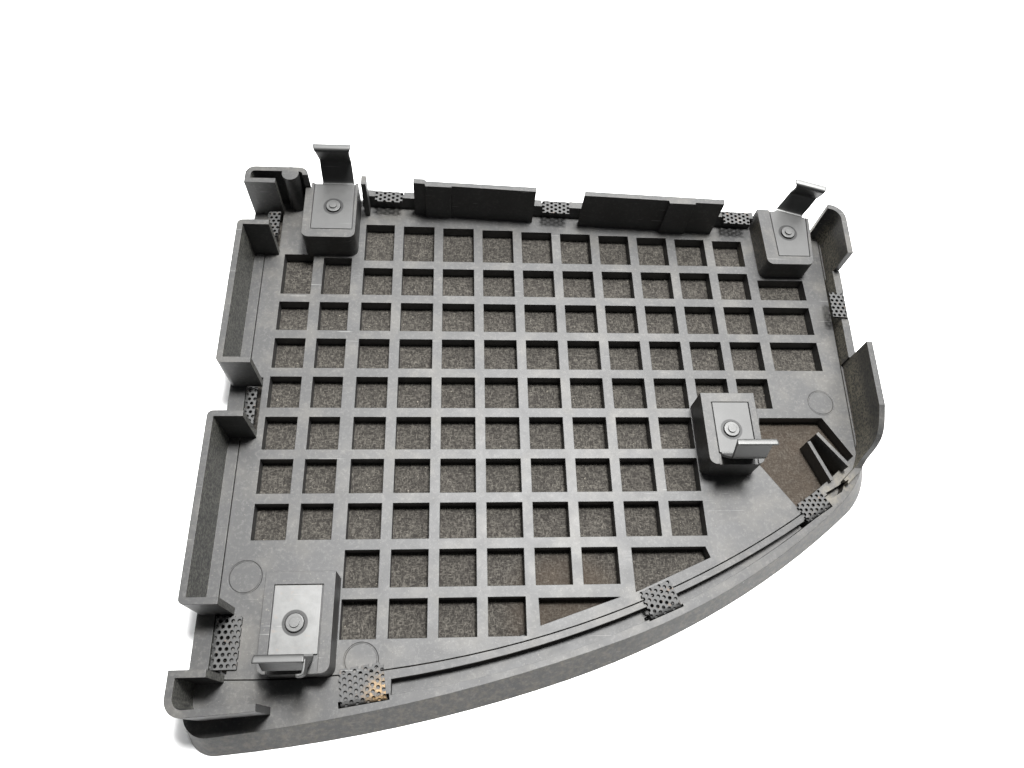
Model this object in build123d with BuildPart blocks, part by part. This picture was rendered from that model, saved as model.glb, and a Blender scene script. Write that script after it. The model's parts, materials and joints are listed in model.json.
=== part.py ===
"""Back of a quarter-shaped loudspeaker grille panel: two plastic mouldings, an
acoustic cloth, a perforated steel face with folded tabs, and four spring clips.

Plan positions are measured from one corner of the square lattice, so that the
openings fall on multiples of the pitch; level() moves them to the common frame.
"""

from build123d import *
import math
import os

# --- Common frame -------------------------------------------------------------
DATUM_X = -79.99  # lattice corner in the common frame
DATUM_Y = 62.99

# --- Levels above the front face ------------------------------------------------
MESH_BOTTOM = 0.0
GAUGE = 0.8
MESH_TOP = MESH_BOTTOM + GAUGE
PLATE_BOTTOM = 2.4
DECK = 6.0
RIM_TOP = 11.0
WALL_TOP = 20.5
TOWER_TOP = 15.3
TOWER_TOP_NE = 13.5

# --- Outer edge: arcs as (radius, angle) from the south-west corner eastward ------
WEST_X = -9.0
FRONT_START = (-2.0, -141.34)
FRONT_HEADING = 3.71
FRONT_ARCS = ((380.9, 12.41), (236.7, 21.86), (21.1, 50.62))
BACK_START = (-3.0, -137.66)
BACK_HEADING = 4.82
BACK_ARCS = ((439.5, 12.79), (189.0, 21.82), (25.85, 47.27))
NE_CORNER = (169.1, 2.9)
NE_BREAK = (149.0, 7.42)
TOP_WEST = (22.7, 13.17)
NW_CORNER = (WEST_X, 13.0)
NE_RADIUS = 6.0
NW_RADIUS = 3.4

# --- Rim frame -----------------------------------------------------------------
LIP = 1.6
RIM = 2.35
LEDGE = 2.0
SEAM_X = -4.6
SEAM = ((7.6, 137.1), 263.0)
SEAM_EAST = 157.0
SEAM_GAP = 0.25
GROOVE_SOUTH = ((9.1, 115.5), 246.8)
GROOVE_NORTH = ((2.1, 150.7), 279.2)
GROOVE_WEST = 37.2
GROOVE_EAST = 151.0
WALL = 1.6
LOW_END = 2.0
# The east wall's top comes down to the low end: y and height along it
EAST_FALL = (
    (-62.5, WALL_TOP),
    (-67.0, 18.8),
    (-70.4, 17.0),
    (-72.7, 13.2),
    (-74.2, 9.4),
    (-75.8, DECK + LOW_END),
)
EAST_FALL_SOUTH = -79.0
EAST_FALL_WEST = 158.0
EAST_FALL_WIDTH = 12.0
RECESS = ((151.5, -82.1), (157.6, -79.0), (156.1, -81.8), (152.9, -83.5))
RECESS_FLOOR = 3.0
CHANNELS = ((-51.1, -6.2), (-111.1, -64.4))
CHANNEL_REACH = -0.35
WEST_SLOTS = ((-5.0, 7.0), (-65.2, -48.3), (-124.4, -109.6))
SLOT_EAST = -0.5

# --- Lattice ---------------------------------------------------------------------
PITCH = 12.0
OPENING = 9.3
EDGE_COLUMNS = {0: (1.3, 9.8), 1: (12.8, 21.0), 2: (24.6, 33.2), 12: (144.2, 158.5)}
ROWS = ((2, 0, 12), (3, 0, 12), (4, 0, 11), (5, 0, 9), (6, 0, 9), (7, 0, 9), (8, 2, 7), (9, 2, 5))
WINDOW_RIB = 1.0
FIRST_ROW_TOP = 4.76
FIRST_ROW_SLOPE = 0.034
WINDOW = (
    (136.8, -60.2),
    (155.0, -60.2),
    (161.6, -71.6),
    (154.0, -77.8),
    (142.7, -85.9),
    (134.6, -74.1),
)

# --- Towers and clips --------------------------------------------------------------
TOWER_WALL = 2.0
TOWER_RADIUS = 2.0
STRIP = 0.6
CLIP_WIDTH = 9.4
BEND = 1.1
RIVET_HEAD = 2.2
RIVET_SHANK = 1.5
RIVET_DEPTH = 1.5
RIVET_FLANGE = 0.5
RIVET_ROUND = 0.3
RIVET_BUTTON = 0.4

os.makedirs("parts", exist_ok=True)


def level(height):
    """Horizontal plane at a height above the front face, on the lattice corner."""
    return Plane(origin=(DATUM_X, DATUM_Y, height))


def south_arc(circle, west, east):
    """Three points of a circle's south side between two x values."""
    (centre_x, centre_y), radius = circle
    stations = (west, (west + east) / 2, east)
    return [(x, centre_y - math.sqrt(radius**2 - (x - centre_x) ** 2)) for x in stations]


def edge_face(height, start, heading, arcs):
    """Face inside the outer edge, from the data of its curved south side."""
    angle = math.radians(heading)
    corner = (start[0] - WEST_X) / (1 + math.sin(angle))
    west_end = (WEST_X, start[1] + corner * math.cos(angle))
    with BuildSketch(level(height)) as face:
        with BuildLine():
            turn = JernArc(west_end, (0, -1), corner, 90 + heading)
            first = JernArc(turn @ 1, turn % 1, *arcs[0])
            second = JernArc(first @ 1, first % 1, *arcs[1])
            third = JernArc(second @ 1, second % 1, *arcs[2])
            east = FilletPolyline(third @ 1, NE_CORNER, NE_BREAK, radius=NE_RADIUS)
            Line(east @ 1, TOP_WEST)
            FilletPolyline(TOP_WEST, NW_CORNER, west_end, radius=NW_RADIUS)
        make_face()
    return face.sketch


def seam_face(height, inset):
    """Face inside the seam of the two mouldings, made smaller all round by an inset."""
    with BuildSketch(level(height)) as face:
        with BuildLine():
            south = ThreePointArc(*south_arc(SEAM, SEAM_X, SEAM_EAST))
            side = FilletPolyline(south @ 1, (162.6, -75.4), (166.7, 0.95), radius=6)
            Polyline(
                side @ 1,
                (NE_BREAK[0] - 0.5, NE_BREAK[1] - RIM),
                (23.4, TOP_WEST[1] - RIM),
                (23.4, TOP_WEST[1] - 1.0),
                (SEAM_X, TOP_WEST[1] - 1.0),
                south @ 0,
            )
        make_face()
        offset(amount=-inset, mode=Mode.REPLACE)
    return face.sketch


def box_face(height, west, south, east, north):
    """Rectangle given by its sides."""
    with BuildSketch(level(height)) as face:
        with Locations(((west + east) / 2, (south + north) / 2)):
            Rectangle(east - west, north - south)
    return face.sketch


def outline_face(height, points):
    """Polygon given by its corners."""
    with BuildSketch(level(height)) as face:
        with BuildLine():
            Polyline(*points, close=True)
        make_face()
    return face.sketch


# --- Folded tabs of the steel face: middle of the web, heading, width, reach, height --
# Each tab stands on the line where its web rises: x runs along that line, y inward.
DECK_TABS = (
    (SEAM_X, 1.2, -90, 9.0, 4.0, 8.2),
    (SEAM_X, -57.4, -90, 11.6, 3.2, DECK + 0.1),
    (SEAM_X, -117.5, -90, 12.0, 6.4, DECK),
    (31.2, -131.4, 8.0, 10.4, 8.2, DECK),
    (104.2, -112.6, 21.0, 8.4, 7.0, DECK),
    (148.5, -88.1, 31.0, 8.2, 5.4, DECK),
)
RIM_TABS = (
    (31.7, 12.66, 177.4, 8.2, 4.6, RIM_TOP),
    (82.5, 10.35, 177.4, 8.2, 5.2, RIM_TOP),
    (138.8, 7.78, 177.4, 8.2, 5.2, RIM_TOP),
    (167.45, -26.4, 86.7, 8.4, 5.0, RIM_TOP),
)


def tab_box(tab, low, high, near, far, margin=0.0):
    """Rectangle across a tab at its lower level, and the height up to its upper level."""
    x, y, heading, width = tab[:4]
    turn = math.radians(heading)
    direction = (math.cos(turn), math.sin(turn), 0)
    foot = Plane(origin=(DATUM_X + x, DATUM_Y + y, low), x_dir=direction, z_dir=(0, 0, 1))
    with BuildSketch(foot) as face:
        with Locations((0, (near + far) / 2)):
            Rectangle(width + 2 * margin, far - near)
    return face.sketch, high - low


# --- Rim frame: sloped edge, low rim and every tall wall --------------------------------
with BuildPart() as rim_frame:
    loft([
        edge_face(0, FRONT_START, FRONT_HEADING, FRONT_ARCS),
        edge_face(DECK, BACK_START, BACK_HEADING, BACK_ARCS),
    ])
    extrude(edge_face(DECK, BACK_START, BACK_HEADING, BACK_ARCS), amount=RIM_TOP - DECK)
    # The low rim runs along the north side and the middle of the east side only
    extrude(box_face(DECK, -20, -150, 23.4, 20), amount=RIM_TOP, mode=Mode.SUBTRACT)
    extrude(box_face(DECK, 144.5, -13.8, 180, 20), amount=RIM_TOP, mode=Mode.SUBTRACT)
    extrude(box_face(DECK, -20, -150, 180, -43.4), amount=RIM_TOP, mode=Mode.SUBTRACT)
    extrude(seam_face(PLATE_BOTTOM, 0.0), amount=RIM_TOP, mode=Mode.SUBTRACT)
    extrude(seam_face(0, LEDGE), amount=PLATE_BOTTOM, mode=Mode.SUBTRACT)
    # Rabbet for the steel face
    with BuildSketch(level(0)) as rabbet:
        add(level(0).to_local_coords(edge_face(0, FRONT_START, FRONT_HEADING, FRONT_ARCS)))
        offset(amount=-LIP, mode=Mode.REPLACE)
    extrude(amount=MESH_TOP, mode=Mode.SUBTRACT)
    # Groove along the curved side
    with BuildSketch(level(PLATE_BOTTOM)) as groove:
        with BuildLine():
            lower = ThreePointArc(*south_arc(GROOVE_SOUTH, GROOVE_WEST, GROOVE_EAST))
            upper = ThreePointArc(*south_arc(GROOVE_NORTH, GROOVE_WEST, GROOVE_EAST))
            Line(lower @ 0, upper @ 0)
            Line(lower @ 1, upper @ 1)
        make_face()
    extrude(amount=DECK, mode=Mode.SUBTRACT)
    # West channels: an outer wall with a return at each end
    for south, north in CHANNELS:
        with BuildSketch(level(DECK)) as channel:
            with Locations(((WEST_X + CHANNEL_REACH) / 2, (south + north) / 2)):
                Rectangle(CHANNEL_REACH - WEST_X, north - south)
            fillet(channel.vertices().group_by(Axis.X)[0], radius=1.4)
            with Locations(((WEST_X + WALL + 5.0) / 2, (south + north) / 2)):
                Rectangle(5.0 - WEST_X - WALL, north - south - 2 * WALL, mode=Mode.SUBTRACT)
        extrude(amount=WALL_TOP - DECK)
    # North-west bracket with its short inner wall and half-round pillar
    with BuildSketch(level(DECK)) as bracket:
        with BuildLine():
            Line((-0.2, 7.8), (-8.1, 7.8))
            FilletPolyline((-8.1, 7.8), (-8.1, 12.1), (8.1, 12.1), (8.1, 10.1), radius=1.9)
        trace(line_width=WALL)
        with Locations((3.8, 10.6)):
            Circle(2.4)
    extrude(amount=WALL_TOP - DECK)
    # South-west pocket
    with BuildSketch(level(DECK)) as pocket:
        with BuildLine():
            Line((-0.8, -125.4), (-7.9, -125.4))
            FilletPolyline((-7.9, -125.4), (-7.9, -133.5), (10.3, -132.4), radius=3.2)
        trace(line_width=WALL)
    extrude(amount=WALL_TOP - DECK)
    # East walls follow the outer edge
    with BuildSketch(level(DECK)) as east_walls:
        with BuildLine():
            straight = Line((165.6, -43.4), (164.4, -65.0))
            JernArc(straight @ 1, straight % 1, 24.0, -28)
        trace(line_width=WALL)
        with BuildLine():
            FilletPolyline((167.0, -13.8), (168.0, 2.1), (163.7, 3.08), radius=4.2)
        trace(line_width=WALL)
    extrude(amount=WALL_TOP - DECK)
    side = Plane(
        origin=(DATUM_X + EAST_FALL_WEST, DATUM_Y, 0), x_dir=(0, 1, 0), z_dir=(1, 0, 0)
    )
    with BuildSketch(side) as fall:
        with BuildLine():
            top = Spline(*EAST_FALL)
            over = WALL_TOP + WALL
            Polyline(
                top @ 1,
                (EAST_FALL_SOUTH, DECK + LOW_END),
                (EAST_FALL_SOUTH, over),
                (EAST_FALL[0][0], over),
                top @ 0,
            )
        make_face()
    extrude(amount=EAST_FALL_WIDTH, mode=Mode.SUBTRACT)
    # Low end of the east wall
    with BuildSketch(level(DECK)) as low_end:
        with BuildLine():
            Line((161.2, -75.8), (156.8, -79.6))
        trace(line_width=WALL)
    extrude(amount=LOW_END)
    # Openings for the tabs of the steel face
    for tab in DECK_TABS:
        slot, height = tab_box(tab, 0, DECK + 1, -0.15, GAUGE + 0.4, 0.6)
        extrude(slot, amount=height, mode=Mode.SUBTRACT)
    for tab in RIM_TABS:
        notch, height = tab_box(tab, 0, RIM_TOP + 1, -2.0, GAUGE + 0.1, 0.2)
        extrude(notch, amount=height, mode=Mode.SUBTRACT)
        under, height = tab_box(tab, 0, MESH_TOP, 0, LIP + 0.4, 0.2)
        extrude(under, amount=height, mode=Mode.SUBTRACT)
    extrude(outline_face(RECESS_FLOOR, RECESS), amount=DECK, mode=Mode.SUBTRACT)
rim_frame.part.label = "rim_frame"
export_step(rim_frame.part, "parts/rim_frame.step")


# --- Lattice panel: plate, openings, fins, ribs and clip towers --------------------------
TOWERS = {
    # outline, recess for the clip, hollow from below, top, rivet
    "nw": (
        ((7.5, -7.8), (22.7, -7.8), (22.7, 11.8), (9.1, 11.8), (9.1, 9.8), (7.5, 9.8)),
        ((9.9, -5.0), (21.9, -5.0), (21.9, 12.2), (9.9, 12.2)),
        (10.0, -5.6, 20.4, 8.6),
        TOWER_TOP,
        (16.0, 3.1),
    ),
    "ne": (
        ((145.0, -13.3), (159.2, -13.3), (160.9, 3.8), (151.4, 6.8), (145.0, 7.0)),
        ((148.8, -10.4), (158.6, -10.4), (160.0, 3.0), (160.0, 8.0), (148.8, 8.0)),
        (147.4, -11.2, 157.4, 2.6),
        TOWER_TOP_NE,
        (153.2, -1.8),
    ),
    "se": (
        ((117.6, -77.0), (132.3, -77.0), (132.3, -56.8), (117.6, -56.8)),
        ((120.2, -78.0), (130.5, -78.0), (130.5, -59.4), (120.2, -59.4)),
        (120.0, -74.4, 129.8, -59.4),
        TOWER_TOP,
        (124.6, -67.4),
    ),
    "sw": (
        ((8.2, -125.5), (24.2, -125.5), (24.2, -103.0), (8.2, -103.0)),
        ((10.4, -126.5), (21.6, -126.5), (21.6, -106.0), (10.4, -106.0)),
        (10.8, -122.4, 21.6, -106.4),
        TOWER_TOP,
        (15.8, -114.6),
    ),
}
FIN_A = (
    (39.3, 8.1),
    (42.6, 7.9),
    (42.8, 7.0),
    (50.4, 6.8),
    (50.6, 7.2),
    (75.4, 5.9),
    (75.6, 7.5),
    (43.0, 8.9),
    (42.5, 9.6),
    (39.3, 9.75),
)
FIN_B = (
    (89.6, 4.9),
    (115.0, 3.8),
    (115.2, 2.8),
    (122.9, 2.6),
    (123.1, 3.2),
    (131.8, 2.9),
    (132.0, 4.6),
    (90.0, 6.5),
)
WINDOW_RIBS = (
    # end in the window, end at its south edge, top
    ((150.6, -66.3), (157.6, -75.8), 10.0),
    ((149.0, -67.8), (153.2, -79.0), 7.6),
)


def column_sides(column):
    """West and east side of a column of openings."""
    regular = (PITCH * column, PITCH * column + OPENING)
    return EDGE_COLUMNS.get(column, regular)


with BuildPart() as lattice_panel:
    extrude(seam_face(PLATE_BOTTOM, SEAM_GAP), amount=DECK - PLATE_BOTTOM)
    # Square openings row by row
    with BuildSketch(level(PLATE_BOTTOM)) as openings:
        for row, first, last in ROWS:
            for column in range(first, last + 1):
                west, east = column_sides(column)
                with Locations(((west + east) / 2, -PITCH * row - OPENING / 2)):
                    Rectangle(east - west, OPENING)
        for column in range(2, 12):
            west, east = column_sides(column)
            north = FIRST_ROW_TOP - FIRST_ROW_SLOPE * (west + east) / 2
            with Locations(((west + east) / 2, (north - OPENING) / 2)):
                Rectangle(east - west, north + OPENING)
            with Locations(((west + east) / 2, -PITCH - OPENING / 2)):
                Rectangle(east - west, OPENING)
        for column, north in ((0, -7.6), (1, -8.6), (12, -14.3)):
            west, east = column_sides(column)
            with Locations(((west + east) / 2, (north - PITCH - OPENING) / 2)):
                Rectangle(east - west, PITCH + OPENING + north)
        with BuildLine():
            Polyline((96.9, -96.2), (116.3, -96.2), (117.3, -99.0), (97.0, -107.4), close=True)
        make_face()
        with BuildLine():
            Polyline((72.5, -108.4), (93.0, -108.5), (72.7, -115.0), close=True)
        make_face()
        with BuildLine():
            Polyline(*WINDOW, close=True)
        make_face()
    extrude(amount=DECK, mode=Mode.SUBTRACT)
    # Thin ribs across the window at the east end
    for start, end, top in WINDOW_RIBS:
        with BuildSketch(level(PLATE_BOTTOM)) as rib:
            with BuildLine():
                Line(start, end)
            trace(line_width=WINDOW_RIB)
        extrude(amount=top - PLATE_BOTTOM)
    # Fins along the north side and the small hook beside the first tower
    for points in (FIN_A, FIN_B):
        extrude(outline_face(DECK, points), amount=WALL_TOP - DECK)
    extrude(box_face(DECK, 24.2, 7.2, 25.6, 10.3), amount=WALL_TOP - DECK)
    extrude(outline_face(RECESS_FLOOR, RECESS), amount=DECK, mode=Mode.SUBTRACT)
    # Slots for the steel tabs on the west side
    for south, north in WEST_SLOTS:
        extrude(box_face(0, -6, south, SLOT_EAST, north), amount=DECK + 1, mode=Mode.SUBTRACT)
    # Clip towers, hollow from below, each with a recess and a hole for its rivet
    for outline, recess, hollow, top, rivet in TOWERS.values():
        with BuildSketch(level(DECK)) as tower:
            with BuildLine():
                Polyline(*outline, close=True)
            make_face()
            fillet(tower.vertices().group_by(Axis.Y)[0], radius=TOWER_RADIUS)
        extrude(amount=top - DECK)
        extrude(outline_face(top - STRIP, recess), amount=STRIP, mode=Mode.SUBTRACT)
        core = box_face(PLATE_BOTTOM, *hollow)
        extrude(core, amount=top - TOWER_WALL - PLATE_BOTTOM, mode=Mode.SUBTRACT)
        with BuildSketch(level(top - TOWER_WALL)) as hole:
            with Locations(rivet):
                Circle(RIVET_SHANK)
        extrude(amount=TOWER_WALL, mode=Mode.SUBTRACT)
lattice_panel.part.label = "lattice_panel"
export_step(lattice_panel.part, "parts/lattice_panel.step")


# --- Acoustic cloth between the panel and the steel face ----------------------------------
with BuildPart() as acoustic_cloth:
    extrude(seam_face(MESH_TOP, LEDGE), amount=PLATE_BOTTOM - MESH_TOP)
acoustic_cloth.part.label = "acoustic_cloth"
export_step(acoustic_cloth.part, "parts/acoustic_cloth.step")


# --- Steel face with its folded tabs ---------------------------------------------------------
with BuildPart() as grille_mesh:
    with BuildSketch(level(MESH_BOTTOM)) as face_sheet:
        add(level(0).to_local_coords(edge_face(0, FRONT_START, FRONT_HEADING, FRONT_ARCS)))
        offset(amount=-LIP, mode=Mode.REPLACE)
    extrude(amount=GAUGE)
    for tab in DECK_TABS + RIM_TABS:
        reach, flap = tab[4:]
        tongue, height = tab_box(tab, MESH_BOTTOM, MESH_TOP, 0, 2.5)
        extrude(tongue, amount=height)
        web, height = tab_box(tab, MESH_BOTTOM, flap + GAUGE, 0, GAUGE)
        extrude(web, amount=height)
        turned, height = tab_box(tab, flap, flap + GAUGE, 0, reach)
        extrude(turned, amount=height)
grille_mesh.part.label = "grille_mesh"
export_step(grille_mesh.part, "parts/grille_mesh.step")


# --- Spring clips: a base riveted to each tower and a leg that rises from its edge -----------
CLIPS = {
    # middle of the bend, heading of the edge, base outline
    "nw": (
        (16.9, 11.3),
        0.0,
        ((10.1, -4.8), (21.7, -4.8), (21.7, 11.3), (10.1, 11.3)),
    ),
    "ne": (
        (155.1, 5.63),
        -17.5,
        ((149.0, -10.2), (158.4, -10.2), (159.76, 3.0), (159.76, 4.15), (151.4, 6.79), (149.0, 6.0)),
    ),
    "se": (
        (125.35, -73.8),
        180.0,
        ((120.5, -73.8), (130.2, -73.8), (130.2, -59.6), (120.5, -59.6)),
    ),
    "sw": (
        (15.9, -121.4),
        180.0,
        ((10.6, -121.4), (21.3, -121.4), (21.3, -106.2), (10.6, -106.2)),
    ),
}
LEG_LEAN = 26.3
LEG_KNEE = (3.8, 6.0)
LEG_NECK = (1.3, 12.7)
LEG_LIP = (2.9, 13.1)


def clip_plane(corner, top):
    """Upright plane through the middle of a clip, x outward from the tower, y up."""
    (x, y), heading, _ = CLIPS[corner]
    turn = math.radians(heading)
    across = (math.cos(turn), math.sin(turn), 0)
    outward = (-math.sin(turn), math.cos(turn), 0)
    return Plane(origin=(DATUM_X + x, DATUM_Y + y, top), x_dir=outward, z_dir=across)


for corner, (_, _, _, top, rivet) in TOWERS.items():
    with BuildPart() as clip_base:
        extrude(outline_face(top - STRIP, CLIPS[corner][2]), amount=STRIP)
        with BuildSketch(level(top - STRIP)) as hole:
            with Locations(rivet):
                Circle(RIVET_SHANK)
        extrude(amount=STRIP, mode=Mode.SUBTRACT)
    clip_base.part.label = "clip_base_" + corner
    export_step(clip_base.part, "parts/clip_base_" + corner + ".step")

    with BuildPart() as clip_leg:
        with BuildSketch(clip_plane(corner, top)) as strip:
            with BuildLine():
                bend = JernArc((0, -STRIP / 2), (1, 0), BEND, 90 - LEG_LEAN)
                Polyline(bend @ 1, LEG_KNEE, LEG_NECK, LEG_LIP)
            trace(line_width=STRIP)
        extrude(amount=CLIP_WIDTH / 2, both=True)
    clip_leg.part.label = "clip_leg_" + corner
    export_step(clip_leg.part, "parts/clip_leg_" + corner + ".step")

    with BuildPart() as clip_rivet:
        with BuildSketch(level(top - STRIP - RIVET_DEPTH)) as shank:
            with Locations(rivet):
                Circle(RIVET_SHANK)
        extrude(amount=RIVET_DEPTH + STRIP)
        with BuildSketch(level(top)) as head:
            with Locations(rivet):
                Circle(RIVET_HEAD)
        extrude(amount=RIVET_FLANGE)
        fillet(clip_rivet.edges().group_by(Axis.Z)[-1], radius=RIVET_ROUND)
        with BuildSketch(level(top + RIVET_FLANGE)) as button:
            with Locations(rivet):
                Circle(RIVET_HEAD / 2)
        extrude(amount=RIVET_BUTTON)
    clip_rivet.part.label = "clip_rivet_" + corner
    export_step(clip_rivet.part, "parts/clip_rivet_" + corner + ".step")
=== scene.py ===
"""Loudspeaker grille panel lying on its face: plastic rim and lattice deck over
cloth and a perforated steel face, with folded tabs and four spring clips showing."""

import json
import math

import bmesh
import bpy
import numpy as np
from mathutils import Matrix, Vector
from mathutils.geometry import delaunay_2d_cdt
from mathutils.kdtree import KDTree


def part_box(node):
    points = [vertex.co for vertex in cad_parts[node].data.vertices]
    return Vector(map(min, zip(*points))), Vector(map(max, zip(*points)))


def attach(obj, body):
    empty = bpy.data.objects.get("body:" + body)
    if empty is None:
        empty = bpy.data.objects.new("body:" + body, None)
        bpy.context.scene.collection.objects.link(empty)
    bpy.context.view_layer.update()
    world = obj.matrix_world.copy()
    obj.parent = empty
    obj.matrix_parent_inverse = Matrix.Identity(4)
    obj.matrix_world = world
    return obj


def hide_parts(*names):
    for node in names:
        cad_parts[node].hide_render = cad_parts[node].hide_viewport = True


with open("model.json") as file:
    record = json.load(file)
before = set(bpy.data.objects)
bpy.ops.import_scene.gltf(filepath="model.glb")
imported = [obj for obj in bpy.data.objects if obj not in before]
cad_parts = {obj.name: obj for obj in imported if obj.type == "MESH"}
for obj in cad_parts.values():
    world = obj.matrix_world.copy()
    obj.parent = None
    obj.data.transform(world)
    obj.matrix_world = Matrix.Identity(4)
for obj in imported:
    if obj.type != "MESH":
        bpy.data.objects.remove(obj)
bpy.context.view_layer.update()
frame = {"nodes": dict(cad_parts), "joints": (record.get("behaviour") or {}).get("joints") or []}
nodes = frame["nodes"]

MM = 0.001

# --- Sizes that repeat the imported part's own, in millimetres ---------------------------
DATUM = (-79.99, 62.99)  # lattice corner in the common frame
DECK = 6.0
RIM_TOP = 11.0
GAUGE = 0.8
SEAM_X = -4.6
HOLE_PITCH = 1.45
HOLE_RADIUS = 0.46
HOLE_MARGIN = 1.7
TAB_BEND = 1.3
STRIP = 0.6
STRIP_COLUMNS = 8
CLOTH_CUT = 3.0

# Folded tabs: web's middle, heading, width, reach inward, flap height, twist in degrees
TABS = (
    (SEAM_X, 1.2, -90, 9.0, 4.0, 8.2, 9.0),
    (SEAM_X, -57.4, -90, 11.6, 3.2, DECK + 0.1, 0.0),
    (SEAM_X, -117.5, -90, 12.0, 6.4, DECK, 0.0),
    (31.2, -131.4, 8.0, 10.4, 8.2, DECK, 0.0),
    (104.2, -112.6, 21.0, 8.4, 7.0, DECK, 0.0),
    (148.5, -88.1, 31.0, 8.2, 5.4, DECK, 0.0),
    (31.7, 12.66, 177.4, 8.2, 4.6, RIM_TOP, 0.0),
    (82.5, 10.35, 177.4, 8.2, 5.2, RIM_TOP, 0.0),
    (138.8, 7.78, 177.4, 8.2, 5.2, RIM_TOP, 0.0),
    (167.45, -26.4, 86.7, 8.4, 5.0, RIM_TOP, 0.0),
)

# Middle of each rivet
RIVETS = ((16.0, 3.1), (153.2, -1.8), (124.6, -67.4), (15.8, -114.6))

# --- Camera, light and floor --------------------------------------------------------
CAMERA_AT = (-0.02852, -0.07834, 0.19653)
CAMERA_TURN = (25.670, -4.055, -1.657)
CAMERA_LENS = 26.68
KEY_AT = (0.06, 0.135, 0.69)
KEY_SIZE = 0.12
KEY_WATTS = 13.0
SOFTBOX_AT = (0.2, 0.7, 1.0)
SOFTBOX_SIZE = 1.1
SOFTBOX_WATTS = 27.0
SKY = 0.15
FLOOR_HALF = 1.5


def local(x, y, z):
    """Metres in the common frame for a place measured from the lattice corner."""
    return Vector(((DATUM[0] + x) * MM, (DATUM[1] + y) * MM, z * MM))


def new_object(name, vertices, faces, material, smooth=False):
    """Mesh object from vertices in metres."""
    mesh = bpy.data.meshes.new(name)
    mesh.from_pydata([tuple(v) for v in vertices], [], [tuple(f) for f in faces])
    mesh.validate()
    mesh.materials.append(material)
    if smooth:
        mesh.shade_smooth()
    obj = bpy.data.objects.new(name, mesh)
    bpy.context.scene.collection.objects.link(obj)
    return obj


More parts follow.
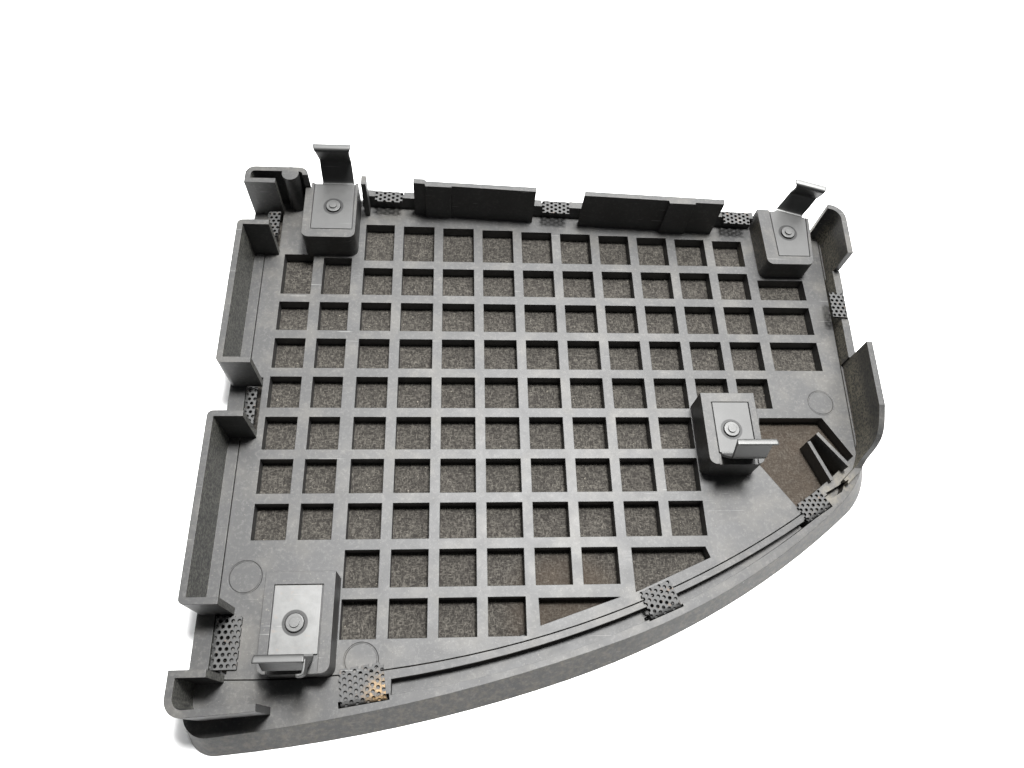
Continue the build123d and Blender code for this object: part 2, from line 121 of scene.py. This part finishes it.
# --- Node helpers ---------------------------------------------------------------------
class Shade:
    """Short names for the nodes that the materials share."""

    def __init__(self, name):
        self.material = bpy.data.materials.new(name)
        self.material.use_nodes = True
        self.tree = self.material.node_tree
        self.surface = self.tree.nodes["Principled BSDF"]
        self.place = self.node("ShaderNodeNewGeometry").outputs["Position"]
        self.normal = self.node("ShaderNodeNewGeometry").outputs["Normal"]

    def node(self, kind, **settings):
        made = self.tree.nodes.new(kind)
        for key, value in settings.items():
            setattr(made, key, value)
        return made

    def feed(self, socket, value):
        if hasattr(value, "is_output"):
            self.tree.links.new(value, socket)
        else:
            socket.default_value = value

    def math(self, operation, a, b=0.0, clamp=False):
        made = self.node("ShaderNodeMath", operation=operation, use_clamp=clamp)
        self.feed(made.inputs[0], a)
        self.feed(made.inputs[1], b)
        return made.outputs[0]

    def noise(self, size_mm, detail=2.0, rough=0.5, vector=None):
        """Noise from 0 to 1 whose blobs are about size_mm across."""
        made = self.node("ShaderNodeTexNoise")
        self.feed(made.inputs["Vector"], self.place if vector is None else vector)
        made.inputs["Scale"].default_value = 1.0 / (size_mm * MM)
        made.inputs["Detail"].default_value = detail
        made.inputs["Roughness"].default_value = rough
        return made.outputs["Fac"]

    def stretch(self, x, y, z, turn=0.0):
        """Position scaled along each axis after a turn about Z."""
        made = self.node("ShaderNodeMapping")
        self.feed(made.inputs["Vector"], self.place)
        made.inputs["Rotation"].default_value = (0, 0, math.radians(turn))
        made.inputs["Scale"].default_value = (x, y, z)
        return made.outputs[0]

    def ramp(self, value, low, high):
        """0 below low, 1 above high, smooth between."""
        made = self.node("ShaderNodeMapRange", interpolation_type="SMOOTHSTEP")
        self.feed(made.inputs["Value"], value)
        made.inputs["From Min"].default_value = low
        made.inputs["From Max"].default_value = high
        return made.outputs[0]

    def span(self, value, low, high):
        """Linear map of 0..1 to low..high."""
        made = self.node("ShaderNodeMapRange")
        self.feed(made.inputs["Value"], value)
        made.inputs["To Min"].default_value = low
        made.inputs["To Max"].default_value = high
        return made.outputs[0]

    def mix(self, factor, a, b):
        made = self.node("ShaderNodeMix", data_type="RGBA")
        self.feed(made.inputs["Factor"], factor)
        self.feed(made.inputs[6], a)
        self.feed(made.inputs[7], b)
        return made.outputs[2]

    def axis(self, vector, name):
        made = self.node("ShaderNodeSeparateXYZ")
        self.feed(made.inputs[0], vector)
        return made.outputs[name]

    def near(self, x, y, reach_mm, soft_mm):
        """1 within reach of a place in plan, fading to 0."""
        centre = local(x, y, 0)
        dx = self.math("SUBTRACT", self.axis(self.place, "X"), centre.x)
        dy = self.math("SUBTRACT", self.axis(self.place, "Y"), centre.y)
        squared = self.math("ADD", self.math("MULTIPLY", dx, dx), self.math("MULTIPLY", dy, dy))
        distance = self.math("SQRT", squared)
        inner = (reach_mm - soft_mm) * MM
        return self.math("SUBTRACT", 1.0, self.ramp(distance, inner, (reach_mm + soft_mm) * MM))

    def bump(self, height, depth_mm, strength=1.0, after=None):
        made = self.node("ShaderNodeBump")
        made.inputs["Strength"].default_value = strength
        made.inputs["Distance"].default_value = depth_mm * MM
        self.feed(made.inputs["Height"], height)
        if after is not None:
            self.feed(made.inputs["Normal"], after)
        return made.outputs[0]

    def rounded(self, radius_mm):
        """Normal that reads as a small radius on every edge."""
        made = self.node("ShaderNodeBevel", samples=6)
        made.inputs["Radius"].default_value = radius_mm * MM
        return made.outputs[0]

    def ring(self, x, y, diameter_mm, width_mm=0.35):
        """1 on a thin circle in plan, as an ejector pin leaves."""
        outer = self.near(x, y, diameter_mm / 2 + width_mm / 2, 0.12)
        inner = self.near(x, y, diameter_mm / 2 - width_mm / 2, 0.12)
        return self.math("SUBTRACT", outer, inner)

    def finish(self, colour, roughness, normal=None, **plain):
        self.feed(self.surface.inputs["Base Color"], colour)
        self.feed(self.surface.inputs["Roughness"], roughness)
        if normal is not None:
            self.feed(self.surface.inputs["Normal"], normal)
        for key, value in plain.items():
            self.surface.inputs[key.replace("_", " ")].default_value = value
        return self.material


DUST = (0.34, 0.31, 0.25, 1.0)
BROWN = (0.16, 0.135, 0.095, 1.0)
SCUFF = (0.3, 0.3, 0.29, 1)
STIPPLE = (0.3, 0.29, 0.27, 1)
SOIL = (0.15, 0.13, 0.09, 1)
SAND = (0.27, 0.245, 0.18, 1)
CLAY = (0.20, 0.175, 0.13, 1)
CHANNEL_DUST = (0.26, 0.26, 0.22, 1)
FIBRE_DARK = (0.020, 0.018, 0.016, 1)
FIBRE_LIGHT = (0.115, 0.107, 0.092, 1)
LINT = (0.36, 0.33, 0.27, 1)
CLOTH_DIRT = (0.042, 0.031, 0.022, 1)
BRIGHT_SCRATCH = (0.5, 0.5, 0.48, 1)
RUST = (0.20, 0.11, 0.05, 1)
OCHRE = (0.33, 0.21, 0.09, 1)
# Near-black tone of the painted shade round the rivet heads
RIVET_RING_SHADE = (0.008, 0.008, 0.008, 1)
FLOOR_WHITE = (0.86, 0.86, 0.855, 1)
FLOOR_STAIN = (0.72, 0.69, 0.62, 1)


def dust_mask(s, amount):
    """Fine and coarse dust that lies on surfaces facing up."""
    up = s.ramp(s.axis(s.normal, "Z"), 0.35, 0.9)
    patches = s.ramp(s.noise(9.0, 4.0, 0.6), 0.42, 0.75)
    specks = s.ramp(s.noise(0.5, 2.0), 0.66, 0.74)
    both = s.math("ADD", s.math("MULTIPLY", patches, 0.35), s.math("MULTIPLY", specks, 0.6))
    return s.math("MULTIPLY", s.math("MULTIPLY", both, up), amount, clamp=True)


def scratches(s, turn, density):
    """Long thin streaks at one angle."""
    streak = s.noise(1.0, 1.0, 0.5, s.stretch(0.06, 2.2, 1.0, turn))
    gate = s.ramp(s.noise(14.0, 1.0), 0.48, 0.6)
    return s.math("MULTIPLY", s.ramp(streak, 1.0 - density, 1.02 - density), gate)


def moulded_plastic(name, base, rims):
    """Fine-grained black moulding with dust, scuffs, pin marks and rounded edges."""
    s = Shade(name)
    cloud = s.noise(22.0, 3.0)
    tone = s.mix(cloud, (base * 0.85,) * 3 + (1,), (base * 1.2, base * 1.19, base * 1.16, 1))
    marks = s.math("MAXIMUM", scratches(s, 24, 0.27), scratches(s, -61, 0.25))
    tone = s.mix(s.math("MULTIPLY", marks, 0.3), tone, SCUFF)
    stipple = s.ramp(s.noise(0.9, 4.0, 0.7), 0.48, 0.7)
    tone = s.mix(s.math("MULTIPLY", stipple, 0.09), tone, STIPPLE)
    tone = s.mix(dust_mask(s, 0.25), tone, DUST)
    # Beige dust on the narrow strip between the window and the groove
    strip = s.math("MAXIMUM", s.near(157.0, -79.0, 2.8, 1.4), s.near(152.5, -82.6, 2.6, 1.4))
    strip = s.math("MAXIMUM", strip, s.near(147.5, -85.6, 2.4, 1.4))
    strip = s.math("MULTIPLY", strip, s.ramp(s.noise(1.2, 4.0, 0.7), 0.32, 0.6))
    tone = s.mix(s.math("MULTIPLY", strip, 0.4), tone, SOIL)
    if rims:
        height = s.axis(s.place, "Z")
        south = s.math("MULTIPLY", s.axis(s.normal, "Y"), -1.0)
        # Brown dirt on the sloped edge and beige dust inside the east wall
        below = s.ramp(s.math("MULTIPLY", height, -1.0), -0.0062, -0.0058)
        slope = s.math("MULTIPLY", s.ramp(south, 0.2, 0.5), below)
        stain = s.math("MULTIPLY", slope, s.ramp(s.noise(1.6, 4.0, 0.7), 0.42, 0.66))
        tone = s.mix(s.math("MULTIPLY", stain, 0.25), tone, BROWN)
        inward = s.ramp(s.math("MULTIPLY", s.axis(s.normal, "X"), -1.0), 0.4, 0.8)
        east = s.ramp(s.axis(s.place, "X"), 0.076, 0.079)
        grain = s.ramp(s.noise(0.7, 4.0, 0.7), 0.36, 0.62)
        beige = s.math("MULTIPLY", s.math("MULTIPLY", inward, east), grain)
        beige = s.math("MULTIPLY", beige, s.span(s.noise(7.0, 2.0), 0.3, 1.3))
        clean = s.ramp(height, 0.012, 0.017)
        beige = s.math("MULTIPLY", beige, s.math("SUBTRACT", 1.0, s.math("MULTIPLY", clean, 0.7)))
        tone = s.mix(s.math("MULTIPLY", beige, 0.85), tone, SAND)
        outward = s.ramp(s.axis(s.normal, "X"), 0.5, 0.9)
        west = s.ramp(s.math("MULTIPLY", s.axis(s.place, "X"), -1.0), 0.079, 0.081)
        grain = s.ramp(s.noise(0.6, 3.0, 0.7), 0.4, 0.66)
        dusty = s.math("MULTIPLY", s.math("MULTIPLY", outward, west), grain)
        tone = s.mix(s.math("MULTIPLY", dusty, 0.45), tone, CHANNEL_DUST)
    roughness = s.span(s.noise(4.0, 3.0), 0.46, 0.56)
    normal = s.bump(s.noise(0.22, 2.0, 0.6), 0.03, 0.6, s.rounded(0.18))
    if not rims:
        # Dusty west side of the north-east tower
        side = s.ramp(s.math("MULTIPLY", s.axis(s.normal, "X"), -1.0), 0.5, 0.9)
        side = s.math("MULTIPLY", side, s.near(145.0, -4.0, 8.0, 2.0))
        side = s.math("MULTIPLY", side, s.ramp(s.noise(0.6, 3.0, 0.7), 0.35, 0.65))
        tone = s.mix(s.math("MULTIPLY", side, 0.6), tone, CLAY)
        pins = s.math("MAXIMUM", s.ring(155.8, -55.5, 7.2), s.ring(1.1, -102.3, 7.8))
        pins = s.math("MAXIMUM", pins, s.ring(30.0, -122.0, 7.8))
        normal = s.bump(s.math("MULTIPLY", pins, -1.0), 0.12, 1.0, normal)
    normal = s.bump(s.math("MULTIPLY", marks, -1.0), 0.02, 0.4, normal)
    return s.finish(tone, roughness, normal, IOR=1.5)


def cloth_material(name):
    """Non-woven cloth: matted fibres, pale lint and brown dirt at the east and south."""
    s = Shade(name)
    one_way = s.noise(0.42, 4.0, 0.75, s.stretch(1.0, 0.4, 1.0, 40))
    other_way = s.noise(0.42, 4.0, 0.75, s.stretch(0.4, 1.0, 1.0, 15))
    fibres = s.math("MAXIMUM", one_way, other_way)
    blotch = s.noise(5.0, 3.0, 0.6)
    light = s.math("MULTIPLY", s.ramp(fibres, 0.45, 0.75), s.span(blotch, 0.5, 1.3))
    tone = s.mix(light, FIBRE_DARK, FIBRE_LIGHT)
    lint = s.ramp(s.noise(0.8, 3.0, 0.65), 0.68, 0.73)
    tone = s.mix(s.math("MULTIPLY", lint, 0.45), tone, LINT)
    window = s.near(147.0, -73.0, 17.0, 5.0)
    wedge = s.near(80.0, -111.0, 14.0, 5.0)
    patches = s.span(s.noise(4.0, 4.0, 0.6), 0.3, 1.0)
    dirt = s.math("MULTIPLY", s.math("MAXIMUM", window, wedge), patches)
    tone = s.mix(s.math("MULTIPLY", dirt, 0.8), tone, CLOTH_DIRT)
    normal = s.bump(fibres, 0.25, 0.8)
    return s.finish(tone, 0.95, normal, Specular_IOR_Level=0.2)


def steel(name, tone, dark, roughness, metallic=1.0, rust=0.0):
    """Strip or sheet steel with a mottled coating, fine scratches, some rust, and painted shade on steep
    faces and round the rivets.
    """
    s = Shade(name)
    low, high = [(level, level, level * 0.98, 1) for level in (dark, tone)]
    colour = s.mix(s.noise(2.4, 4.0, 0.65), low, high)
    colour = s.mix(s.math("MULTIPLY", scratches(s, 80, 0.28), 0.25), colour, BRIGHT_SCRATCH)
    spots = s.ramp(s.noise(1.5, 5.0, 0.7), 0.58, 0.68)
    colour = s.mix(s.math("MULTIPLY", spots, rust), colour, RUST)
    # Stains on the back only, not on the face sheet below
    above = s.ramp(s.axis(s.place, "Z"), 0.003, 0.004)
    patches = s.ramp(s.noise(1.1, 4.0, 0.7), 0.34, 0.6)
    ochre = s.math("MULTIPLY", s.near(35.4, -129.3, 3.4, 2.2), patches)
    ochre = s.math("MULTIPLY", ochre, above)
    colour = s.mix(s.math("MULTIPLY", ochre, 0.75), colour, OCHRE)
    # Painted shade: steep faces get a much darker tone of the steel than flat ones
    side_shade = s.math("ABSOLUTE", s.axis(s.normal, "Z"))
    side_shade = s.math("SUBTRACT", 1.0, s.ramp(side_shade, 0.35, 0.85))
    colour = s.mix(s.math("MULTIPLY", side_shade, 0.75), colour, (dark * 0.35,) * 3 + (1,))
    # Painted shade: a near-black ring round each rivet head, where the head meets the steel
    rivet_shade = 0.0
    for x, y in RIVETS:
        rivet_shade = s.math("MAXIMUM", rivet_shade, s.ring(x, y, 4.9, 0.9))
    rivet_shade = s.math("MULTIPLY", rivet_shade, above)
    colour = s.mix(s.math("MULTIPLY", rivet_shade, 0.8), colour, RIVET_RING_SHADE)
    normal = s.bump(s.noise(0.3, 3.0), 0.02, 0.5, s.rounded(0.1))
    gloss = s.span(s.noise(1.2, 3.0), roughness - 0.06, roughness + 0.08)
    return s.finish(colour, gloss, normal, Metallic=metallic)


def floor_material():
    """White table top with faint warm stains."""
    s = Shade("floor_white")
    stain = s.ramp(s.noise(40.0, 5.0, 0.6), 0.5, 0.8)
    colour = s.mix(s.math("MULTIPLY", stain, 0.12), FLOOR_WHITE, FLOOR_STAIN)
    return s.finish(colour, 0.55)


deck_plastic = moulded_plastic("deck_plastic", 0.026, False)
rim_plastic = moulded_plastic("rim_plastic", 0.024, True)
cloth_look = cloth_material("cloth")
tab_steel = steel("tab_steel", 0.065, 0.03, 0.62, 0.1, 0.3)
clip_steel = steel("clip_steel", 0.075, 0.05, 0.46, 0.4)
# Lighter, more metallic copy of the clip steel for the south-west plate: a painted highlight for that
# plate's sheen
sheen_plate_steel = steel("sheen_plate_steel", 0.15, 0.07, 0.46, 0.6, 0.1)
# Lighter copy of the clip steel for the north-east and south-east legs: a painted highlight for their
# bright lips
highlight_leg_steel = steel("highlight_leg_steel", 0.16, 0.09, 0.4, 0.7)
rivet_metal = steel("rivet_metal", 0.11, 0.05, 0.42, 0.5)


# --- Mouldings and flat metal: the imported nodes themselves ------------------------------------
def dressed(node, material):
    """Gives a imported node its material."""
    mesh = nodes[node].data
    mesh.materials.clear()
    mesh.materials.append(material)


dressed("rim_frame", rim_plastic)
dressed("lattice_panel", deck_plastic)


# --- Perforated steel -------------------------------------------------------------------------
def hole_centres(low, high, phase=0.0):
    """Staggered hole centres that cover a rectangle, in straight lines along y."""
    line_pitch = HOLE_PITCH * math.sqrt(3) / 2
    lines = int((high[0] - low[0]) / line_pitch) + 2
    steps = int((high[1] - low[1]) / HOLE_PITCH) + 2
    west, south = low[0] + phase, low[1]
    return [
        (west + line * line_pitch, south + (step + 0.5 * (line % 2)) * HOLE_PITCH)
        for line in range(lines)
        for step in range(steps)
    ]


def perforated(outline, centres, sides=8):
    """Vertices and triangles of a flat outline with its holes cut out, in millimetres."""
    points = [Vector(p) for p in outline]
    loops = [list(range(len(points)))]
    for x, y in centres:
        start = len(points)
        for k in range(sides):
            angle = 2 * math.pi * (k + 0.5) / sides
            points.append(Vector((x + HOLE_RADIUS * math.cos(angle), y + HOLE_RADIUS * math.sin(angle))))
        loops.append(list(range(start, start + sides)))
    edges = [(loop[i], loop[(i + 1) % len(loop)]) for loop in loops for i in range(len(loop))]
    flat, _, triangles, _, _, _ = delaunay_2d_cdt(points, edges, [], 0, 1e-5)
    flat = np.array([tuple(v) for v in flat])
    triangles = np.array([t for t in triangles if len(t) == 3])
    middle = flat[triangles].mean(axis=1)
    keep = inside(middle, np.array(outline)) & ~in_holes(middle, np.array(centres))
    return flat, triangles[keep]


def inside(places, outline):
    """Which places lie inside a closed outline."""
    result = np.zeros(len(places), bool)
    x, y = places[:, 0], places[:, 1]
    for (ax, ay), (bx, by) in zip(outline, np.roll(outline, -1, axis=0)):
        crosses = (ay > y) != (by > y)
        with np.errstate(divide="ignore", invalid="ignore"):
            at = ax + (y - ay) / (by - ay) * (bx - ax)
        result ^= crosses & (x < at)
    return result


def in_holes(places, centres):
    """Which places lie within a hole."""
    tree = KDTree(len(centres))
    for index, (x, y) in enumerate(centres):
        tree.insert((x, y, 0), index)
    tree.balance()
    return np.array([tree.find((x, y, 0))[2] < HOLE_RADIUS * 0.97 for x, y in places])


def sheet_solid(name, flat, triangles, place, material):
    """Closed sheet: place(u, v, side) gives the point for each side, 0 or 1."""
    used = np.unique(triangles)
    renumber = {old: new for new, old in enumerate(used)}
    count = len(used)
    vertices = [place(*flat[i], 0) for i in used] + [place(*flat[i], 1) for i in used]
    faces = []
    seen = {}
    for a, b, c in triangles:
        a, b, c = renumber[a], renumber[b], renumber[c]
        faces.append((c, b, a))
        faces.append((a + count, b + count, c + count))
        for edge in ((a, b), (b, c), (c, a)):
            seen[edge] = True
    for a, b in seen:
        if (b, a) not in seen:
            faces.append((a, b, b + count, a + count))
    return new_object(name, vertices, faces, material)


def tab_piece(number, tab):
    """One folded tab: the web rises, bends over and lies inward, with holes cut through."""
    x, y, heading, width, reach, flap, twist = tab
    turn = math.radians(heading)
    along = Vector((math.cos(turn), math.sin(turn), 0))
    inward = Vector((-math.sin(turn), math.cos(turn), 0))
    foot = local(x, y, 0)
    outer = TAB_BEND
    rise = flap + GAUGE - outer
    arc = outer * math.pi / 2
    length = rise + arc + reach - outer
    start = GAUGE / 2
    outline = [(-width / 2, start), (width / 2, start), (width / 2, length), (-width / 2, length)]
    edge_steps = 12
    outline = [
        (ax + (bx - ax) * k / edge_steps, ay + (by - ay) * k / edge_steps)
        for (ax, ay), (bx, by) in zip(outline, outline[1:] + outline[:1])
        for k in range(edge_steps)
    ]
    low, high = (-width / 2 - 0.3, 1.2), (width / 2 + 0.5, length + 0.5)
    centres = hole_centres(low, high, 0.1 * number)
    flat, triangles = perforated(outline, centres, 10)

    def place(u, v, side):
        depth = GAUGE * side
        if v <= rise:
            out, up = depth, v
        elif v <= rise + arc:
            bend = (v - rise) / outer
            out = outer - (outer - depth) * math.cos(bend)
            up = rise + (outer - depth) * math.sin(bend)
        else:
            out = outer + v - rise - arc
            up = rise + outer - depth
            up += (v - rise - arc) * math.tan(math.radians(twist)) * (0.5 + u / width)
        return foot + along * (u * MM) + inward * (out * MM) + Vector((0, 0, up * MM))

    piece = sheet_solid(f"steel_tab_{number}", flat, triangles, place, tab_steel)
    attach(piece, "panel")


def face_outline():
    """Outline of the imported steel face's lower side, in order, in millimetres."""
    mesh = nodes["grille_mesh"].data
    places = {}
    edges = {}
    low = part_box("grille_mesh")[0].z
    for polygon in mesh.polygons:
        corners = [mesh.vertices[i].co for i in polygon.vertices]
        if max(c.z for c in corners) > low + 0.01 * MM:
            continue
        keys = [(round(c.x / MM, 3), round(c.y / MM, 3)) for c in corners]
        for a, b in zip(keys, keys[1:] + keys[:1]):
            if (b, a) in edges:
                del edges[(b, a)]
            else:
                edges[(a, b)] = True
    following = dict(edges.keys())
    start = max(following)
    outline = [start]
    while following[outline[-1]] != start:
        outline.append(following[outline[-1]])
    return outline


def face_piece():
    """Flat steel face with rows of holes that stop short of its edge."""
    outline = face_outline()
    box_low, box_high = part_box("grille_mesh")
    low = (box_low.x / MM, box_low.y / MM)
    high = (box_high.x / MM, box_high.y / MM)
    centres = np.array(hole_centres(low, high))
    clear = np.ones(len(centres), bool)
    for angle in np.linspace(0, 2 * math.pi, 12, endpoint=False):
        step = np.array((math.cos(angle), math.sin(angle))) * HOLE_MARGIN
        clear &= inside(centres + step, np.array(outline))
    flat, triangles = perforated(outline, [tuple(c) for c in centres[clear]], 6)

    def place(u, v, side):
        return Vector((u * MM, v * MM, box_low.z + GAUGE * (0.05 + 0.95 * side) * MM))

    piece = sheet_solid("steel_face_sheet", flat, triangles, place, tab_steel)
    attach(piece, "panel")
    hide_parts("grille_mesh")


face_piece()
for number, tab in enumerate(TABS):
    tab_piece(number, tab)


# --- Acoustic cloth ------------------------------------------------------------------------------
def cloth_piece():
    """Flat stretched cloth whose skin rises and falls a little between the steel and deck."""
    source = nodes["acoustic_cloth"]
    shape = bmesh.new()
    shape.from_mesh(source.data)
    bmesh.ops.remove_doubles(shape, verts=shape.verts, dist=0.002 * MM)
    low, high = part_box("acoustic_cloth")
    for axis, size in ((0, high.x - low.x), (1, high.y - low.y)):
        cuts = int(size / (CLOTH_CUT * MM))
        for k in range(1, cuts):
            place = Vector((0, 0, 0))
            place[axis] = low[axis] + size * k / cuts
            normal = Vector((0, 0, 0))
            normal[axis] = 1
            bmesh.ops.bisect_plane(
                shape,
                geom=shape.verts[:] + shape.edges[:] + shape.faces[:],
                plane_co=place,
                plane_no=normal,
            )
    top = high.z
    for vertex in shape.verts:
        if vertex.co.z > top - 0.05 * MM:
            wave = math.sin(vertex.co.x * 520) * math.sin(vertex.co.y * 430 + 1.0)
            vertex.co.z = top - (0.16 + 0.1 * wave) * MM
    mesh = bpy.data.meshes.new("cloth_sheet")
    shape.to_mesh(mesh)
    shape.free()
    mesh.materials.append(cloth_look)
    mesh.shade_smooth()
    piece = bpy.data.objects.new("cloth_sheet", mesh)
    bpy.context.scene.collection.objects.link(piece)
    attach(piece, "panel")
    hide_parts("acoustic_cloth")


cloth_piece()


# --- Spring clips ----------------------------------------------------------------------------------
LEG_PATH = (
    # outward, up, half width
    (0.0, -0.3, 4.6),
    (0.42, -0.22, 4.6),
    (0.78, 0.05, 4.6),
    (1.2, 0.75, 4.6),
    (2.3, 3.0, 4.6),
    (3.35, 5.1, 4.55),
    (3.72, 6.0, 4.5),
    (3.55, 6.9, 4.5),
    (2.75, 9.1, 4.6),
    (1.9, 11.4, 4.7),
    (1.5, 12.35, 4.85),
    (1.62, 12.85, 5.1),
    (2.1, 13.05, 5.25),
    (3.05, 13.15, 5.3),
)
# Width, height and sideways lean of each leg against the path above
LEG_SHAPES = {
    "leg_nw": (1.0, 1.0, -0.4),
    "leg_ne": (0.88, 0.86, 2.2),
    "leg_se": (0.97, 1.0, 0.0),
    "leg_sw": (1.0, 1.0, 0.3),
}
# Across and outward along the hook, and its lower and upper edge
HOOK_PATH = ((-5.0, 2.2), (-5.0, 3.6), (-4.95, 4.9), (-4.65, 5.4), (-3.4, 5.5))
HOOK_HEIGHTS = (9.6, 12.9)


def clip_frame(joint):
    """Directions along and out from a clip's edge, and the origin of its leg's path."""
    across = Vector(joint["axis"])
    outward = Vector((0, 0, 1)).cross(across)
    return across, outward, Vector(joint["pos_m"]) - Vector((0, 0, GAUGE * MM))


def finish_strip(piece, joint):
    """Smooths a piece of strip and lets it ride on its leg's body."""
    smooth = piece.modifiers.new("smooth", "SUBSURF")
    smooth.levels = 2
    smooth.render_levels = 2
    crease_ends(piece)
    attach(piece, joint["child"])


def leg_piece(joint, material):
    """Rising leg of a clip: one bent strip with a knee, a neck and a flat lip."""
    across, outward, origin = clip_frame(joint)
    width, rise, lean = LEG_SHAPES[joint["child"]]
    path = [Vector((out, up * rise)) for out, up, _ in LEG_PATH]
    columns = STRIP_COLUMNS
    vertices = []
    for index, (_, _, half) in enumerate(LEG_PATH):
        before = path[max(index - 1, 0)]
        after = path[min(index + 1, len(path) - 1)]
        tangent = (after - before).normalized() if index else Vector((1, 0))
        offset = Vector((-tangent.y, tangent.x)) * STRIP / 2
        sway = lean * math.sin(math.pi * min(max(path[index].y, 0) / path[-1].y, 1) * 0.7)
        for side in (1, -1):
            point = path[index] + offset * side
            for k in range(columns + 1):
                u = width * half * (2 * k / columns - 1) + sway
                vertices.append(
                    origin + across * (u * MM) + outward * (point.x * MM) + Vector((0, 0, point.y * MM))
                )
    row = columns + 1
    faces = []
    for index in range(len(LEG_PATH) - 1):
        inner, outer = 2 * index * row, (2 * index + 1) * row
        inner_next, outer_next = inner + 2 * row, outer + 2 * row
        for k in range(columns):
            faces.append((inner + k, inner_next + k, inner_next + k + 1, inner + k + 1))
            faces.append((outer + k, outer + k + 1, outer_next + k + 1, outer_next + k))
        faces.append((inner, outer, outer_next, inner_next))
        faces.append((inner + columns, inner_next + columns, outer_next + columns, outer + columns))
    last = 2 * (len(LEG_PATH) - 1) * row
    for k in range(columns):
        faces.append((k, k + 1, row + k + 1, row + k))
        faces.append((last + k, last + row + k, last + row + k + 1, last + k + 1))
    piece = new_object(joint["child"] + "_strip", vertices, faces, material, smooth=True)
    finish_strip(piece, joint)
    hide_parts("clip_" + joint["child"])


def hook_piece(joint, material):
    """Narrow hook that stands out from the lip's end, seen on one clip."""
    across, outward, origin = clip_frame(joint)
    vertices = []
    for index, (u, out) in enumerate(HOOK_PATH):
        before = Vector(HOOK_PATH[max(index - 1, 0)])
        after = Vector(HOOK_PATH[min(index + 1, len(HOOK_PATH) - 1)])
        tangent = (after - before).normalized()
        normal = Vector((-tangent.y, tangent.x)) * STRIP / 2
        for offset in (normal, -normal):
            for up in HOOK_HEIGHTS:
                vertices.append(
                    origin
                    + across * ((u + offset.x) * MM)
                    + outward * ((out + offset.y) * MM)
                    + Vector((0, 0, up * MM))
                )
    faces = [(0, 2, 3, 1)]
    for index in range(len(HOOK_PATH) - 1):
        a, b = 4 * index, 4 * index + 4
        faces += [(a, a + 1, b + 1, b), (a + 2, b + 2, b + 3, a + 3)]
        faces += [(a + 1, a + 3, b + 3, b + 1), (a, b, b + 2, a + 2)]
    last = 4 * (len(HOOK_PATH) - 1)
    faces.append((last, last + 1, last + 3, last + 2))
    piece = new_object(joint["child"] + "_hook", vertices, faces, material, smooth=True)
    finish_strip(piece, joint)


def crease_ends(piece):
    """Keeps a strip's long edges and ends crisp under subdivision."""
    shape = bmesh.new()
    shape.from_mesh(piece.data)
    bmesh.ops.recalc_face_normals(shape, faces=shape.faces)
    crease = shape.edges.layers.float.new("crease_edge")
    for edge in shape.edges:
        if len(edge.link_faces) == 2 and edge.calc_face_angle(0) > math.radians(55):
            edge[crease] = 0.85
    shape.to_mesh(piece.data)
    shape.free()


LEG_LOOKS = {"leg_nw": clip_steel, "leg_ne": highlight_leg_steel, "leg_se": highlight_leg_steel, "leg_sw": clip_steel}
for joint in frame["joints"]:
    leg_piece(joint, LEG_LOOKS[joint["child"]])
    if joint["child"] == "leg_sw":
        hook_piece(joint, LEG_LOOKS[joint["child"]])
for corner in ("nw", "ne", "se", "sw"):
    dressed("clip_base_" + corner, sheen_plate_steel if corner == "sw" else clip_steel)
    dressed("clip_rivet_" + corner, rivet_metal)


# --- Floor, light and camera --------------------------------------------------------------------
def floor():
    """Plain white table top under the object."""
    half = FLOOR_HALF
    corners = [(-half, -half, 0), (half, -half, 0), (half, half, 0), (-half, half, 0)]
    new_object("floor", corners, [(0, 1, 2, 3)], floor_material())


def lamp(name, place, size, watts):
    """Square lamp aimed at the object."""
    data = bpy.data.lights.new(name, "AREA")
    data.shape = "SQUARE"
    data.size = size
    data.energy = watts
    obj = bpy.data.objects.new(name, data)
    obj.location = place
    obj.rotation_euler = (-Vector(place)).to_track_quat("-Z", "Y").to_euler()
    bpy.context.scene.collection.objects.link(obj)


def sky():
    """Even faint light from all round."""
    world = bpy.data.worlds.new("studio")
    world.use_nodes = True
    world.node_tree.nodes["Background"].inputs["Color"].default_value = (0.95, 0.97, 1.0, 1)
    world.node_tree.nodes["Background"].inputs["Strength"].default_value = SKY
    bpy.context.scene.world = world


def camera():
    """Camera at the viewing angle of the photo."""
    data = bpy.data.cameras.new("camera")
    data.lens = CAMERA_LENS
    data.sensor_width = 36
    data.clip_start = 0.01
    obj = bpy.data.objects.new("camera", data)
    obj.location = CAMERA_AT
    obj.rotation_euler = [math.radians(a) for a in CAMERA_TURN]
    bpy.context.scene.collection.objects.link(obj)
    bpy.context.scene.camera = obj


floor()
lamp("key", KEY_AT, KEY_SIZE, KEY_WATTS)
lamp("softbox", SOFTBOX_AT, SOFTBOX_SIZE, SOFTBOX_WATTS)
sky()
camera()
bpy.context.scene.view_settings.view_transform = "Standard"
